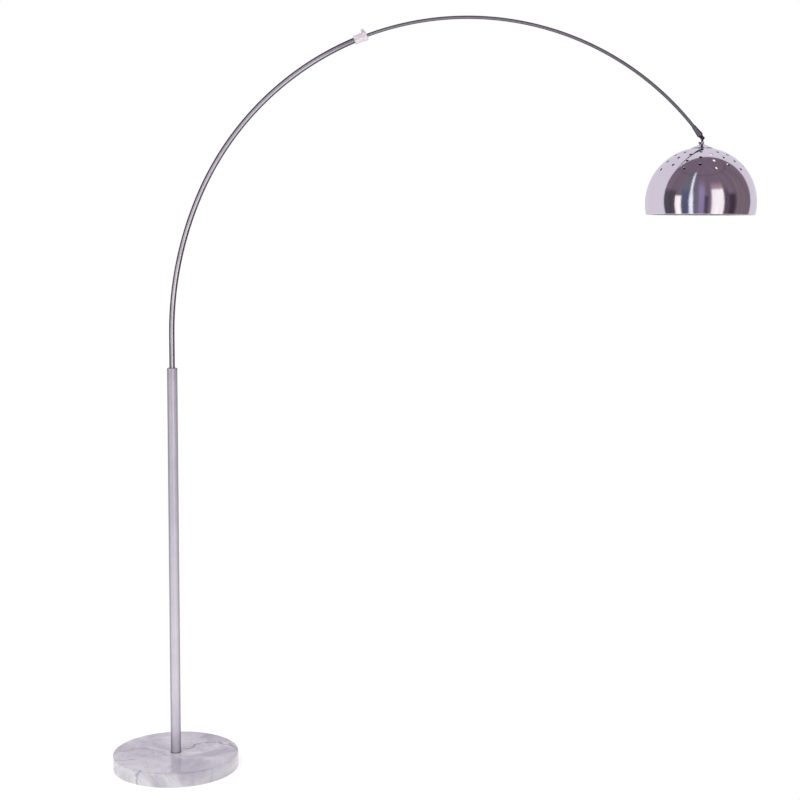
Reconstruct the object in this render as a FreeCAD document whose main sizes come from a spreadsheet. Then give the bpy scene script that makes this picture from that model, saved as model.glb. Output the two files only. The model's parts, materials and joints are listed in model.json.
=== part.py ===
import FreeCAD, Part
import os
import re
import Sketcher
from FreeCAD import Placement, Rotation, Vector

# Arc floor lamp: a round marble base, an upright pole, a lower arm tube that turns in the pole,
# an upper arm tube that slides in the lower one, and a perforated dome shade on a tilting knuckle.
# Origin: centre of the base on the floor. +Z is up and +X points from the pole to the shade.
# The arm lies in the XZ plane. All lengths are in millimetres and all angles in degrees.

DIMENSIONS = [
    # clearances
    ("fit_gap", 0.05), ("running_gap", 0.08), ("free_gap", 0.3), ("face_gap", 0.1),
    # marble base and what clamps the pole to it
    ("base_diameter", 350), ("base_thickness", 40), ("base_edge_round", 3), ("base_bottom_chamfer", 1),
    ("foot_height", 1.5), ("foot_outer_diameter", 320), ("foot_inner_diameter", 284),
    ("recess_diameter", 80), ("recess_depth", 24), ("groove_width", 8), ("groove_depth", 8),
    ("stud_diameter", 16), ("stud_bore", 9), ("stud_reach", 25), ("stud_tail", 1.5),
    ("washer_diameter", 60), ("washer_thickness", 3), ("nut_across_corners", 27.7), ("nut_thickness", 8),
    ("gasket_thickness", 0.8), ("gasket_rim", 1), ("plug_length", 35),
    # cord inlet and the lead that the lamp holds inside
    ("lead_diameter", 5), ("lead_bend_radius", 9), ("grommet_length", 10), ("grommet_flange", 2),
    ("grommet_flange_diameter", 8.6),
    # pole
    ("pole_diameter", 28), ("pole_wall", 1.5), ("pole_top", 1126), ("reducer_lip", 8),
    ("reducer_spigot", 30), ("reducer_chamfer", 2), ("guide_length", 20), ("grub_diameter", 4),
    ("grub_count", 3),
    # lower arm
    ("arm_diameter", 15), ("arm_wall", 1.2), ("arm_insert", 240), ("guide_above_foot", 14),
    ("stop_gap", 1.5), ("stop_thickness", 6), ("lead_straight", 92), ("lead_radius", 945),
    ("lead_turn", 23.65), ("arc_radius", 795),
    # collar between the arm tubes
    ("collar_turn", 68.2), ("collar_length", 36), ("collar_wall", 4), ("collar_ring_wall", 5),
    ("collar_ring_length", 12), ("collar_slack", 0.35), ("collar_edge", 1), ("liner_step", 0.5),
    ("slide_gap", 0.5), ("clamp_offset", 11), ("clamp_thread", 4), ("clamp_pad_thickness", 1.6),
    ("clamp_head_diameter", 8), ("clamp_head_height", 7), ("knurl_diameter", 1.2), ("knurl_count", 12),
    # upper arm
    ("upper_diameter", 9), ("upper_wall", 0.9), ("overlap_turn", 16), ("tail_bush_length", 16),
    ("tip_turn", 142.3), ("tip_inset_turn", 0.1), ("lead_tail_turn", 6), ("lead_end_turn", 1.5),
    ("ferrule_length", 33), ("ferrule_wall", 0.9),
    ("ferrule_flare", 2.8), ("ferrule_slack", 0.25),
    # knuckle
    ("pin_reach", 8), ("fork_gap", 0.4), ("fork_plate", 2.3), ("fork_width", 8.6), ("fork_slot", 4.6),
    ("ear_radius", 4.5),
    ("eye_radius", 4), ("eye_thickness", 4.2), ("shank_diameter", 6), ("shank_top", 5.2),
    ("tilt_thread", 3.6), ("tilt_head_diameter", 9), ("tilt_head_height", 5), ("tilt_tail", 1.3),
    ("flange_diameter", 9), ("flange_thickness", 2), ("flange_depth", 35),
    # cap over the knuckle
    ("cap_drop", 9.5), ("cap_neck_diameter", 11), ("cap_neck_length", 5.6), ("cap_over_crown", 15),
    ("cap_radius", 30), ("cap_wall", 1), ("cap_rim_gap", 0.35), ("cap_screw_diameter", 3),
    ("cap_screw_drop", 12.5), ("cap_screw_head_diameter", 4.8), ("cap_screw_head_height", 4.4),
    # dome shade
    ("shade_radius", 150), ("shade_wall", 0.9), ("shade_rim_drop", 31), ("bead_radius", 1.3),
    ("shade_bore_radius", 5.2), ("vent_diameter", 8.6), ("vent_first_turn", 26.4), ("vent_step_turn", 5.5),
    ("vent_count", 9), ("vent_azimuth", -104.6),
    # stack that hangs the lampholder under the dome
    ("spigot_diameter", 10), ("spigot_rise", 6.2), ("cap_nut_diameter", 14), ("socket_diameter", 18),
    ("fibre_washer_thickness", 1), ("socket_length", 16), ("stem_diameter", 10), ("stem_bore", 6.4),
    ("stem_length", 22), ("stem_in_socket", 5), ("lock_nut_across_corners", 16), ("lock_nut_thickness", 3),
    # lampholder and bulb
    ("holder_space", 2.9), ("holder_cap_diameter", 28), ("holder_cap_length", 20), ("holder_length", 34),
    ("holder_wall", 2.5), ("insert_thickness", 6), ("thread_radius", 13.6), ("thread_wall", 0.5),
    ("bulb_radius", 30), ("bulb_length", 105), ("bulb_wall", 0.8), ("bulb_cap_radius", 13.2),
    ("bulb_cap_length", 25), ("bulb_shoulder", 15),
]

# ---------------------------------------------------------------- document and sheet of sizes

doc = FreeCAD.newDocument("arc_floor_lamp")
sizes = doc.addObject("Spreadsheet::Sheet", "Sizes")
for row, (alias, amount) in enumerate(DIMENSIONS, 1):
    sizes.set("A%d" % row, alias)
    sizes.set("B%d" % row, str(amount))
    sizes.setAlias("B%d" % row, alias)
doc.recompute()

ALIASES = re.compile(r"\b(" + "|".join(alias for alias, amount in DIMENSIONS) + r")\b")
probe = doc.addObject("App::FeaturePython", "Probe")
probe.addProperty("App::PropertyFloat", "Amount")
sub_parts = []


def linked(text):
    """The same formula with each size's name pointing at its cell in the sheet."""
    return ALIASES.sub(r"Sizes.\1", text)


def number(text):
    """What a formula of sizes comes to now."""
    probe.setExpression("Amount", linked(text))
    probe.recompute()
    return probe.Amount


def bind(thing, **formulas):
    """Bind properties of an object to formulas of sizes."""
    for name, text in formulas.items():
        thing.setExpression(name, linked(text))


def place(thing, at=("0", "0", "0"), axis=(0, 1, 0), turn="0"):
    """Place an object at a point, turned about an axis, all bound to the sheet."""
    thing.Placement = Placement(Vector(0, 0, 0), Rotation(Vector(*axis), 1))
    for letter, text in zip("xyz", at):
        thing.setExpression("Placement.Base." + letter, linked(text))
    thing.setExpression("Placement.Rotation.Angle", linked(turn))
    return thing


def named(thing, label):
    """Give a finished sub-part its own label, and count it as one."""
    thing.Label = label
    sub_parts.append(thing)
    return thing


# ---------------------------------------------------------------- sketches and features

def body_of(label, at=("0", "0", "0"), axis=(0, 1, 0), turn="0"):
    body = named(doc.addObject("PartDesign::Body", label + "_body"), label)
    return place(body, at, axis, turn)


def plane_of(body, role):
    return [part for part in body.Origin.OriginFeatures if part.Role == role][0]


def sketch_on(body, role):
    sketch = body.newObject("Sketcher::SketchObject", body.Label + "_sketch")
    sketch.AttachmentSupport = [(plane_of(body, role), "")]
    sketch.MapMode = "FlatFace"
    return sketch


def pin_coordinate(sketch, kind, index, corner, text):
    """Fix one coordinate of a point: on the axis if it is 0, and bound to the sheet otherwise."""
    if text is None:
        return
    if text == "0":
        axis = -2 if kind == "DistanceX" else -1
        sketch.addConstraint(Sketcher.Constraint("PointOnObject", index, corner, axis))
        return
    number_of = sketch.addConstraint(
        Sketcher.Constraint(kind, -1, 1, index, corner, number(text)))
    sketch.setExpression("Constraints[%d]" % number_of, linked(text))


def outline_on(body, role, corners, arcs=None):
    """A closed outline. Each corner is a pair of formulas; an arc's centre is on the upright axis.

    arcs maps a corner's index to (centre height, radius, side) of the arc that leaves it. A
    coordinate given as None follows from that arc; side is 1 above its centre and -1 below.
    """
    arcs = arcs or {}
    sketch = sketch_on(body, role)
    points = []
    for index, (across, up) in enumerate(corners):
        arc = arcs.get(index) or arcs.get((index - 1) % len(corners))
        if across is None:
            drop = number(up) - number(arc[0])
            points.append(Vector((number(arc[1]) ** 2 - drop ** 2) ** 0.5, number(up), 0))
        elif up is None:
            rise = (number(arc[1]) ** 2 - number(across) ** 2) ** 0.5
            points.append(Vector(number(across), number(arc[0]) + arc[2] * rise, 0))
        else:
            points.append(Vector(number(across), number(up), 0))
    ends = []
    for index, start in enumerate(points):
        end = points[(index + 1) % len(points)]
        if index not in arcs:
            sketch.addGeometry(Part.LineSegment(start, end), False)
            ends.append((1, 2))
            continue
        centre = Vector(0, number(arcs[index][0]), 0)
        circle = Part.Circle(centre, Vector(0, 0, 1), number(arcs[index][1]))
        first = circle.parameter(start)
        last = circle.parameter(end)
        counterclockwise = (last - first) % 6.283185307 < 3.141592654
        if not counterclockwise:
            first, last = last, first
        sketch.addGeometry(Part.ArcOfCircle(circle, first, last), False)
        ends.append((1, 2) if counterclockwise else (2, 1))
    for index in range(len(points)):
        following = (index + 1) % len(points)
        sketch.addConstraint(Sketcher.Constraint(
            "Coincident", index, ends[index][1], following, ends[following][0]))
    for index, (across, up) in enumerate(corners):
        pin_coordinate(sketch, "DistanceX", index, ends[index][0], across)
        pin_coordinate(sketch, "DistanceY", index, ends[index][0], up)
    for index, (centre, radius, side) in arcs.items():
        pin_coordinate(sketch, "DistanceX", index, 3, "0")
        pin_coordinate(sketch, "DistanceY", index, 3, centre)
        radius_of = sketch.addConstraint(Sketcher.Constraint("Radius", index, number(radius)))
        sketch.setExpression("Constraints[%d]" % radius_of, linked(radius))
    return sketch


def circle_on(body, role, across, up, radius):
    sketch = sketch_on(body, role)
    centre = Vector(number(across), number(up), 0)
    sketch.addGeometry(Part.Circle(centre, Vector(0, 0, 1), number(radius)), False)
    pin_coordinate(sketch, "DistanceX", 0, 3, across)
    pin_coordinate(sketch, "DistanceY", 0, 3, up)
    radius_of = sketch.addConstraint(Sketcher.Constraint("Radius", 0, number(radius)))
    sketch.setExpression("Constraints[%d]" % radius_of, linked(radius))
    return sketch


def revolve(body, sketch):
    feature = body.newObject("PartDesign::Revolution", body.Label + "_turned")
    feature.Profile = sketch
    feature.ReferenceAxis = (sketch, ["V_Axis"])
    feature.Angle = 360
    return feature


def pad(body, sketch, length, symmetric=False):
    feature = body.newObject("PartDesign::Pad", body.Label + "_pad")
    feature.Profile = sketch
    feature.Midplane = symmetric
    bind(feature, Length=length)
    return feature


def pocket(body, sketch, length, symmetric=False, reverse=False):
    """Cut a sketch into a body, and stop if it points away from the solid."""
    doc.recompute()
    before = body.Shape.Volume
    feature = body.newObject("PartDesign::Pocket", body.Label + "_pocket")
    feature.Profile = sketch
    feature.Midplane = symmetric
    feature.Reversed = reverse
    bind(feature, Length=length)
    doc.recompute()
    if not body.Shape.Volume < before - 1e-6:
        raise RuntimeError(body.Label + ": a pocket cuts nothing")
    return feature


def around(body, feature, count):
    """Repeat a feature evenly about the body's own upright axis."""
    pattern = body.newObject("PartDesign::PolarPattern", body.Label + "_pattern")
    pattern.Originals = [feature]
    pattern.Axis = (plane_of(body, "Z_Axis"), [""])
    pattern.Angle = 360
    bind(pattern, Occurrences=count)
    body.Tip = pattern
    return pattern


def round_edges(body, kind, height, radius, amount):
    """Fillet or chamfer the one circular edge at a height and radius of a body."""
    doc.recompute()
    base = body.Tip
    for index, edge in enumerate(base.Shape.Edges, 1):
        circular = isinstance(edge.Curve, Part.Circle)
        if circular and abs(edge.BoundBox.ZMin - number(height)) < 1e-4 \
                and abs(edge.BoundBox.ZMax - number(height)) < 1e-4 \
                and abs(edge.Curve.Radius - number(radius)) < 1e-4:
            feature = body.newObject("PartDesign::" + kind, body.Label + "_" + kind.lower())
            feature.Base = (base, ["Edge%d" % index])
            bind(feature, **{"Radius" if kind == "Fillet" else "Size": amount})
            return feature
    raise RuntimeError(body.Label + ": no edge to round")


def turned(label, corners, arcs=None, at=("0", "0", "0"), axis=(0, 1, 0), turn="0"):
    """A sub-part turned about its own upright axis."""
    body = body_of(label, at, axis, turn)
    revolve(body, outline_on(body, "XZ_Plane", corners, arcs))
    return body


def ring(label, inner, outer, low, high, **where):
    """A plain ring between two radii and two heights."""
    return turned(label, [(inner, low), (outer, low), (outer, high), (inner, high)], **where)


def hex_nut(label, corners, thickness, bore, at):
    """A hexagonal nut with its low face at a point."""
    prism = doc.addObject("Part::Prism", label + "_prism")
    prism.Polygon = 6
    bind(prism, Circumradius=corners + " / 2", Height=thickness)
    drill = doc.addObject("Part::Cylinder", label + "_bore")
    bind(drill, Radius=bore, Height=thickness + " + 2")
    drill.setExpression("Placement.Base.z", "-1")
    nut = doc.addObject("Part::Cut", label + "_cut")
    nut.Base = prism
    nut.Tool = drill
    return place(named(nut, label), at)


# ---------------------------------------------------------------- the arm's curve

# The lower arm rises straight, bends on a wide lead-in arc and then follows the main arc, which
# both tubes share so that one can slide in the other. A turn is counted from straight up.
LEAD_END_X = "lead_radius * (1 - cos(lead_turn))"
LEAD_START_Z = "(pole_top + lead_straight)"
ARC_X = "(" + LEAD_END_X + " + arc_radius * cos(lead_turn))"
ARC_Z = "(" + LEAD_START_Z + " + (lead_radius - arc_radius) * sin(lead_turn))"
ARM_FOOT = "(pole_top - arm_insert)"


def on_arm(turn, along="0", out="0"):
    """A point on the main arc, moved along the arc's direction and out from its centre."""
    x = "%s - (arc_radius + %s) * cos(%s) + (%s) * sin(%s)" % (ARC_X, out, turn, along, turn)
    z = "%s + (arc_radius + %s) * sin(%s) + (%s) * cos(%s)" % (ARC_Z, out, turn, along, turn)
    return (x, "0", z)


def arm_run(name, radius, kind, start, end, spare="0"):
    """One rod of the arm, drawn lying in the XY plane: up the pole's axis, or bent about a centre."""
    if kind == "straight":
        rod = doc.addObject("Part::Cylinder", name)
        bind(rod, Radius=radius, Height="%s - (%s) + 2 * %s" % (end, start, spare))
        return place(rod, ("0", "%s - %s" % (start, spare), "0"), (1, 0, 0), "-90")
    middle = {"lead": ("lead_radius", LEAD_START_Z, "0"), "main": (ARC_X, ARC_Z, "0")}[kind]
    rod = doc.addObject("Part::Torus", name)
    bind(rod, Radius1={"lead": "lead_radius", "main": "arc_radius"}[kind], Radius2=radius,
         Angle3="%s - (%s) + 2 * %s" % (end, start, spare))
    return place(rod, middle, (0, 0, 1), "180 - (%s) - %s" % (end, spare))


def along_arm(label, route, radius, wall=None):
    """A rod along the arm's curve, or a tube where a wall is given, stood up in the XZ plane."""
    runs = []
    for index, (kind, start, end) in enumerate(route):
        name = "%s_run_%d" % (label, index)
        run = arm_run(name, radius, kind, start, end)
        if wall:
            tube = doc.addObject("Part::Cut", name + "_tube")
            tube.Base = run
            tube.Tool = arm_run(name + "_bore", radius + " - " + wall, kind, start, end, spare="0.5")
            run = tube
        runs.append(run)
    if len(runs) > 1:
        joined = doc.addObject("Part::MultiFuse", label + "_joined")
        joined.Shapes = runs
    else:
        joined = doc.addObject("Part::Compound", label + "_joined")
        joined.Links = runs
    joined.Placement = Placement(Vector(0, 0, 0), Rotation(Vector(1, 0, 0), 90))
    return named(joined, label)


# ---------------------------------------------------------------- marble base

BASE_TOP = "(foot_height + base_thickness)"
RECESS_TOP = "(foot_height + recess_depth)"


def make_marble_base():
    marble = body_of("marble_base", ("0", "0", "foot_height"))
    pad(marble, circle_on(marble, "XY_Plane", "0", "0", "base_diameter / 2"), "base_thickness")
    round_edges(marble, "Fillet", "base_thickness", "base_diameter / 2", "base_edge_round")
    round_edges(marble, "Chamfer", "0", "base_diameter / 2", "base_bottom_chamfer")
    pocket(marble, circle_on(marble, "XY_Plane", "0", "0", "stud_diameter / 2 + free_gap"),
           "base_thickness + 1", reverse=True)
    pocket(marble, circle_on(marble, "XY_Plane", "0", "0", "recess_diameter / 2"),
           "recess_depth", reverse=True)
    groove = outline_on(marble, "XY_Plane", [
        ("-groove_width / 2", "0"), ("groove_width / 2", "0"),
        ("groove_width / 2", "base_diameter / 2 + 1"), ("-groove_width / 2", "base_diameter / 2 + 1")])
    pocket(marble, groove, "groove_depth", reverse=True)


def make_base_clamp():
    """The felt ring the base stands on, and the stack that clamps the pole to the marble."""
    ring("base_foot_ring", "foot_inner_diameter / 2", "foot_outer_diameter / 2", "0", "foot_height")
    bore = "stud_diameter / 2 + fit_gap"
    ring("base_washer", bore, "washer_diameter / 2", RECESS_TOP + " - washer_thickness", RECESS_TOP)
    nut_low = RECESS_TOP + " - washer_thickness - nut_thickness"
    hex_nut("base_nut", "nut_across_corners", "nut_thickness", bore, ("0", "0", nut_low))
    ring("base_stud", "stud_bore / 2", "stud_diameter / 2", nut_low + " - stud_tail",
         BASE_TOP + " + stud_reach")
    ring("pole_gasket", bore, "pole_diameter / 2 + gasket_rim", BASE_TOP, BASE_TOP + " + gasket_thickness")
    ring("pole_foot_plug", bore, "pole_diameter / 2 - pole_wall - fit_gap",
         BASE_TOP + " + gasket_thickness", BASE_TOP + " + gasket_thickness + plug_length")


GROOVE_MIDDLE = "(foot_height + groove_depth / 2)"


def make_cable_grommet():
    """A rubber block in the groove's mouth, with a round flange outside the marble's edge."""
    block = doc.addObject("Part::Box", "grommet_block")
    bind(block, Length="groove_width - 2 * fit_gap", Width="grommet_length",
         Height="groove_depth - fit_gap")
    place(block, ("-groove_width / 2 + fit_gap", "base_diameter / 2 - grommet_length + face_gap",
                  "foot_height"))
    flange = doc.addObject("Part::Cylinder", "grommet_collar")
    bind(flange, Radius="grommet_flange_diameter / 2", Height="grommet_flange")
    place(flange, ("0", "base_diameter / 2 + face_gap", GROOVE_MIDDLE), (1, 0, 0), "-90")
    solid = doc.addObject("Part::Fuse", "grommet_solid")
    solid.Base = block
    solid.Tool = flange
    drill = doc.addObject("Part::Cylinder", "grommet_bore")
    bind(drill, Radius="lead_diameter / 2 + fit_gap", Height="grommet_length + grommet_flange + 2")
    place(drill, ("0", "base_diameter / 2 - grommet_length - 1", GROOVE_MIDDLE), (1, 0, 0), "-90")
    grommet = doc.addObject("Part::Cut", "grommet_cut")
    grommet.Base = solid
    grommet.Tool = drill
    named(grommet, "cable_grommet")


def make_base_lead():
    """The lead in the base and pole: in at the grommet, round a bend and up to the arm's foot."""
    bend_top = GROOVE_MIDDLE + " + lead_bend_radius"
    level = doc.addObject("Part::Cylinder", "base_lead_level")
    bind(level, Radius="lead_diameter / 2", Height="base_diameter / 2 - lead_bend_radius")
    place(level, ("0", "lead_bend_radius", GROOVE_MIDDLE), (1, 0, 0), "-90")
    bend = doc.addObject("Part::Torus", "base_lead_bend")
    bend.Angle3 = 90
    bind(bend, Radius1="lead_bend_radius", Radius2="lead_diameter / 2")
    bend.Placement = Placement(Vector(0, 0, 0), Rotation(Vector(0, 1, 0), 90) * Rotation(
        Vector(0, 0, 1), -90))
    bend.setExpression("Placement.Base.y", linked("lead_bend_radius"))
    bend.setExpression("Placement.Base.z", linked(bend_top))
    rise = doc.addObject("Part::Cylinder", "base_lead_rise")
    bind(rise, Radius="lead_diameter / 2", Height=ARM_FOOT + " - face_gap - (" + bend_top + ")")
    place(rise, ("0", "0", bend_top))
    lead = doc.addObject("Part::MultiFuse", "base_lead_runs")
    lead.Shapes = [level, bend, rise]
    named(lead, "lead_in_pole")


# ---------------------------------------------------------------- pole

def make_pole():
    ring("pole", "pole_diameter / 2 - pole_wall", "pole_diameter / 2",
         BASE_TOP + " + gasket_thickness", "pole_top - reducer_lip")
    bore = "pole_diameter / 2 - pole_wall - fit_gap"
    running = "arm_diameter / 2 + running_gap"
    guide_low = ARM_FOOT + " + guide_above_foot"
    ring("pole_guide_bush", running, bore, guide_low, guide_low + " + guide_length")
    lip_low = "pole_top - reducer_lip"
    reducer = turned("pole_top_reducer", [
        (running, lip_low + " - reducer_spigot"), (bore, lip_low + " - reducer_spigot"),
        (bore, lip_low), ("pole_diameter / 2", lip_low),
        ("pole_diameter / 2", "pole_top - reducer_chamfer"),
        ("pole_diameter / 2 - reducer_chamfer", "pole_top"), (running, "pole_top")])
    hole = circle_on(reducer, "XZ_Plane", "0", "pole_top - reducer_lip / 2", "grub_diameter / 2 + fit_gap")
    around(reducer, pocket(reducer, hole, "pole_diameter", reverse=False), "grub_count")
    screws = []
    for index in range(int(sizes.get("grub_count"))):
        azimuth = "(90 + %d * 360 / grub_count)" % index
        inner = "(arm_diameter / 2 + free_gap)"
        screw = doc.addObject("Part::Cylinder", "grub_screw_%d" % index)
        bind(screw, Radius="grub_diameter / 2", Height="pole_diameter / 2 - free_gap - " + inner)
        screw.Placement = Placement(Vector(0, 0, 0), Rotation(Vector(0, 0, 1), number(azimuth))
                                    * Rotation(Vector(0, 1, 0), 90))
        screw.setExpression("Placement.Base.x", linked(inner + " * cos(%s)" % azimuth))
        screw.setExpression("Placement.Base.y", linked(inner + " * sin(%s)" % azimuth))
        screw.setExpression("Placement.Base.z", linked("pole_top - reducer_lip / 2"))
        screws.append(screw)
    group = doc.addObject("Part::Compound", "grub_screw_group")
    group.Links = screws
    named(group, "pole_grub_screws")


# ---------------------------------------------------------------- lower arm and collar

def make_lower_arm():
    foot = ("straight", ARM_FOOT, LEAD_START_Z)
    along_arm("lower_arm_tube", [foot, ("lead", "0", "lead_turn"), ("main", "lead_turn", "collar_turn")],
              "arm_diameter / 2", "arm_wall")
    stop_low = ARM_FOOT + " + guide_above_foot + guide_length + face_gap"
    ring("arm_stop_ring", "arm_diameter / 2 + fit_gap", "pole_diameter / 2 - pole_wall - stop_gap",
         stop_low, stop_low + " + stop_thickness")
    lead_foot = ("straight", ARM_FOOT + " + face_gap", LEAD_START_Z)
    along_arm("lead_in_lower_arm", [lead_foot, ("lead", "0", "lead_turn - lead_end_turn")],
              "lead_diameter / 2")


COLLAR_RING = "(arm_diameter / 2 + collar_ring_wall)"


def make_collar():
    """The collar is fixed on the lower tube's end and holds the liner that the upper tube slides in."""
    here = {"at": on_arm("collar_turn"), "turn": "collar_turn"}
    half = "collar_length / 2"
    low_bore = "arm_diameter / 2 + collar_slack"
    liner = "(arm_diameter / 2 - liner_step)"
    liner_seat = liner + " + fit_gap"
    barrel = "(arm_diameter / 2 + collar_wall)"
    ring_low = half + " - collar_ring_length"
    collar = turned("collar_body", [
        (low_bore, "-" + half), (barrel + " - collar_edge", "-" + half),
        (barrel, "-" + half + " + collar_edge"), (barrel, ring_low), (COLLAR_RING, ring_low),
        (COLLAR_RING, half + " - collar_edge"), (COLLAR_RING + " - collar_edge", half),
        (liner_seat, half), (liner_seat, "face_gap"), (low_bore, "face_gap")], **here)
    clamp = circle_on(collar, "YZ_Plane", "0", "clamp_offset", "clamp_thread / 2 + running_gap")
    pocket(collar, clamp, COLLAR_RING + " + 1", reverse=False)
    sleeve = ring("collar_liner", "upper_diameter / 2 + slide_gap", liner, "2 * face_gap", half, **here)
    window = circle_on(sleeve, "YZ_Plane", "0", "clamp_offset", "clamp_thread / 2 + fit_gap")
    pocket(sleeve, window, COLLAR_RING + " + 1", reverse=False)
    pad_low = "upper_diameter / 2 + free_gap"
    ring_at = on_arm("collar_turn", "clamp_offset", pad_low)
    pin = doc.addObject("Part::Cylinder", "clamp_pad_pin")
    bind(pin, Radius="clamp_thread / 2", Height="clamp_pad_thickness")
    place(named(pin, "collar_clamp_pad"), ring_at, turn="collar_turn - 90")


def make_collar_screw():
    """A knurled thumb screw that stands out from the collar and presses the pad on the upper tube."""
    nose = "(upper_diameter / 2 + free_gap + clamp_pad_thickness + face_gap)"
    head_low = "(" + COLLAR_RING + " + free_gap)"
    head = "clamp_head_diameter / 2"
    screw = turned("collar_thumb_screw", [
        ("0", nose), ("clamp_thread / 2", nose), ("clamp_thread / 2", head_low), (head, head_low),
        (head, head_low + " + clamp_head_height - 0.8"),
        (head + " - 0.8", head_low + " + clamp_head_height"), ("0", head_low + " + clamp_head_height")],
        at=on_arm("collar_turn", "clamp_offset"), turn="collar_turn - 90")
    flute = circle_on(screw, "XY_Plane", head, "0", "knurl_diameter / 2")
    around(screw, pocket(screw, flute, head_low + " + clamp_head_height + 1", reverse=True),
           "knurl_count")


# ---------------------------------------------------------------- upper arm and its fork

UPPER_START = "collar_turn - overlap_turn"
TURN_PER_MM = "(180 / (pi * arc_radius))"
PIN = on_arm("tip_turn", "pin_reach")


def make_upper_arm():
    along_arm("upper_arm_tube", [("main", UPPER_START, "tip_turn - tip_inset_turn")],
              "upper_diameter / 2", "upper_wall")
    bush_turn = UPPER_START + " + (tail_bush_length / 2 + 1) * " + TURN_PER_MM
    ring("arm_tail_bush", "upper_diameter / 2 + running_gap",
         "arm_diameter / 2 - arm_wall - free_gap", "-tail_bush_length / 2", "tail_bush_length / 2",
         at=on_arm(bush_turn), turn=bush_turn)
    along_arm("lead_in_upper_arm",
              [("main", UPPER_START + " - lead_tail_turn", "tip_turn - 3 * tip_inset_turn")],
              "lead_diameter / 2")


FERRULE_MOUTH = "(upper_diameter / 2 + ferrule_wall + ferrule_flare)"


def make_ferrule():
    """A flared sleeve over the upper tube's end."""
    middle = "tip_turn - ferrule_length / 2 * " + TURN_PER_MM
    half = "ferrule_length / 2"
    bore = "upper_diameter / 2 + ferrule_slack"
    turned("tip_ferrule", [
        (bore, "-" + half), ("upper_diameter / 2 + ferrule_wall", "-" + half),
        (FERRULE_MOUTH, half + " - 4"), (FERRULE_MOUTH + " - 0.6", half + " - 1.2"),
        (FERRULE_MOUTH + " - 1.8", half), (bore, half)],
        at=on_arm(middle), turn=middle)


def make_fork():
    """The fork closes the ferrule's mouth and holds the knuckle between its two ears."""
    fork = body_of("tip_fork", PIN, turn="tip_turn")
    plate_low = "-pin_reach + fork_gap"
    revolve(fork, outline_on(fork, "XZ_Plane", [
        ("0", plate_low), (FERRULE_MOUTH + " - 2", plate_low),
        (FERRULE_MOUTH + " - 2.6", "-pin_reach + fork_plate"), ("0", "-pin_reach + fork_plate")]))
    cheeks = outline_on(fork, "XZ_Plane", [
        ("-ear_radius", "-pin_reach + fork_plate / 2"), ("ear_radius", "-pin_reach + fork_plate / 2"),
        ("ear_radius", "0"), ("-ear_radius", "0")])
    pad(fork, cheeks, "fork_width", symmetric=True)
    pad(fork, circle_on(fork, "XZ_Plane", "0", "0", "ear_radius"), "fork_width", symmetric=True)
    slot = outline_on(fork, "XZ_Plane", [
        ("-ear_radius - 1", "-pin_reach + fork_plate"), ("ear_radius + 1", "-pin_reach + fork_plate"),
        ("ear_radius + 1", "ear_radius + 1"), ("-ear_radius - 1", "ear_radius + 1")])
    pocket(fork, slot, "fork_slot", symmetric=True)
    bore = circle_on(fork, "XZ_Plane", "0", "0", "tilt_thread / 2 + running_gap")
    pocket(fork, bore, "fork_width + 2", symmetric=True)


def make_tilt_screw():
    """A thumb screw across the fork: it is the hinge pin, and tightening it holds the shade's tilt."""
    face = "(fork_width / 2 + face_gap)"
    head = "tilt_head_diameter / 2"
    screw = turned("tilt_thumb_screw", [
        ("0", "-" + face + " - tilt_tail"), ("tilt_thread / 2 - 0.5", "-" + face + " - tilt_tail"),
        ("tilt_thread / 2", "-" + face + " - tilt_tail + 0.5"), ("tilt_thread / 2", face), (head, face),
        (head, face + " + tilt_head_height - 1"), (head + " - 1", face + " + tilt_head_height"),
        ("0", face + " + tilt_head_height")], at=PIN, axis=(1, 0, 0), turn="90")
    flute = circle_on(screw, "XY_Plane", head, "0", "knurl_diameter / 2")
    around(screw, pocket(screw, flute, face + " + tilt_head_height + 1", reverse=True), "knurl_count")


def make_link():
    """The knuckle's lower half: an eye between the fork's ears and a shank with a captive flange."""
    link = body_of("knuckle_link", PIN)
    shank = "shank_diameter / 2"
    flange = "flange_diameter / 2"
    revolve(link, outline_on(link, "XZ_Plane", [
        ("0", "-flange_depth"), (flange, "-flange_depth"), (flange, "-flange_depth + flange_thickness"),
        (shank, "-flange_depth + flange_thickness"), (shank, "-shank_top"), ("0", "-shank_top")]))
    neck = outline_on(link, "XZ_Plane", [
        ("-shank_diameter / 2 + 0.4", "-shank_top - 1"), ("shank_diameter / 2 - 0.4", "-shank_top - 1"),
        ("shank_diameter / 2 - 0.4", "0"), ("-shank_diameter / 2 + 0.4", "0")])
    pad(link, neck, "eye_thickness", symmetric=True)
    pad(link, circle_on(link, "XZ_Plane", "0", "0", "eye_radius"), "eye_thickness", symmetric=True)
    bore = circle_on(link, "XZ_Plane", "0", "0", "tilt_thread / 2 + running_gap")
    pocket(link, bore, "eye_thickness + 2", symmetric=True)


# ---------------------------------------------------------------- cap, dome and what hangs them

# Heights below are counted from the knuckle's pin, which is the origin of each of these pieces.
SHADE_CROWN = "(-cap_drop - cap_over_crown)"
SHADE_MIDDLE = "(" + SHADE_CROWN + " - shade_radius)"
CAP_RIM = "(" + SHADE_MIDDLE + " + sqrt(shade_radius * shade_radius - cap_radius * cap_radius))"
SHANK_BORE = "shank_diameter / 2 + running_gap"
SPIGOT_BORE = "spigot_diameter / 2 + fit_gap"
UNDER_CROWN = "(" + SHADE_CROWN + " - shade_wall - 2 * free_gap)"
SOCKET_TOP = "(" + UNDER_CROWN + " - fibre_washer_thickness - face_gap)"
SOCKET_FOOT = "(" + SOCKET_TOP + " - socket_length)"


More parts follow.
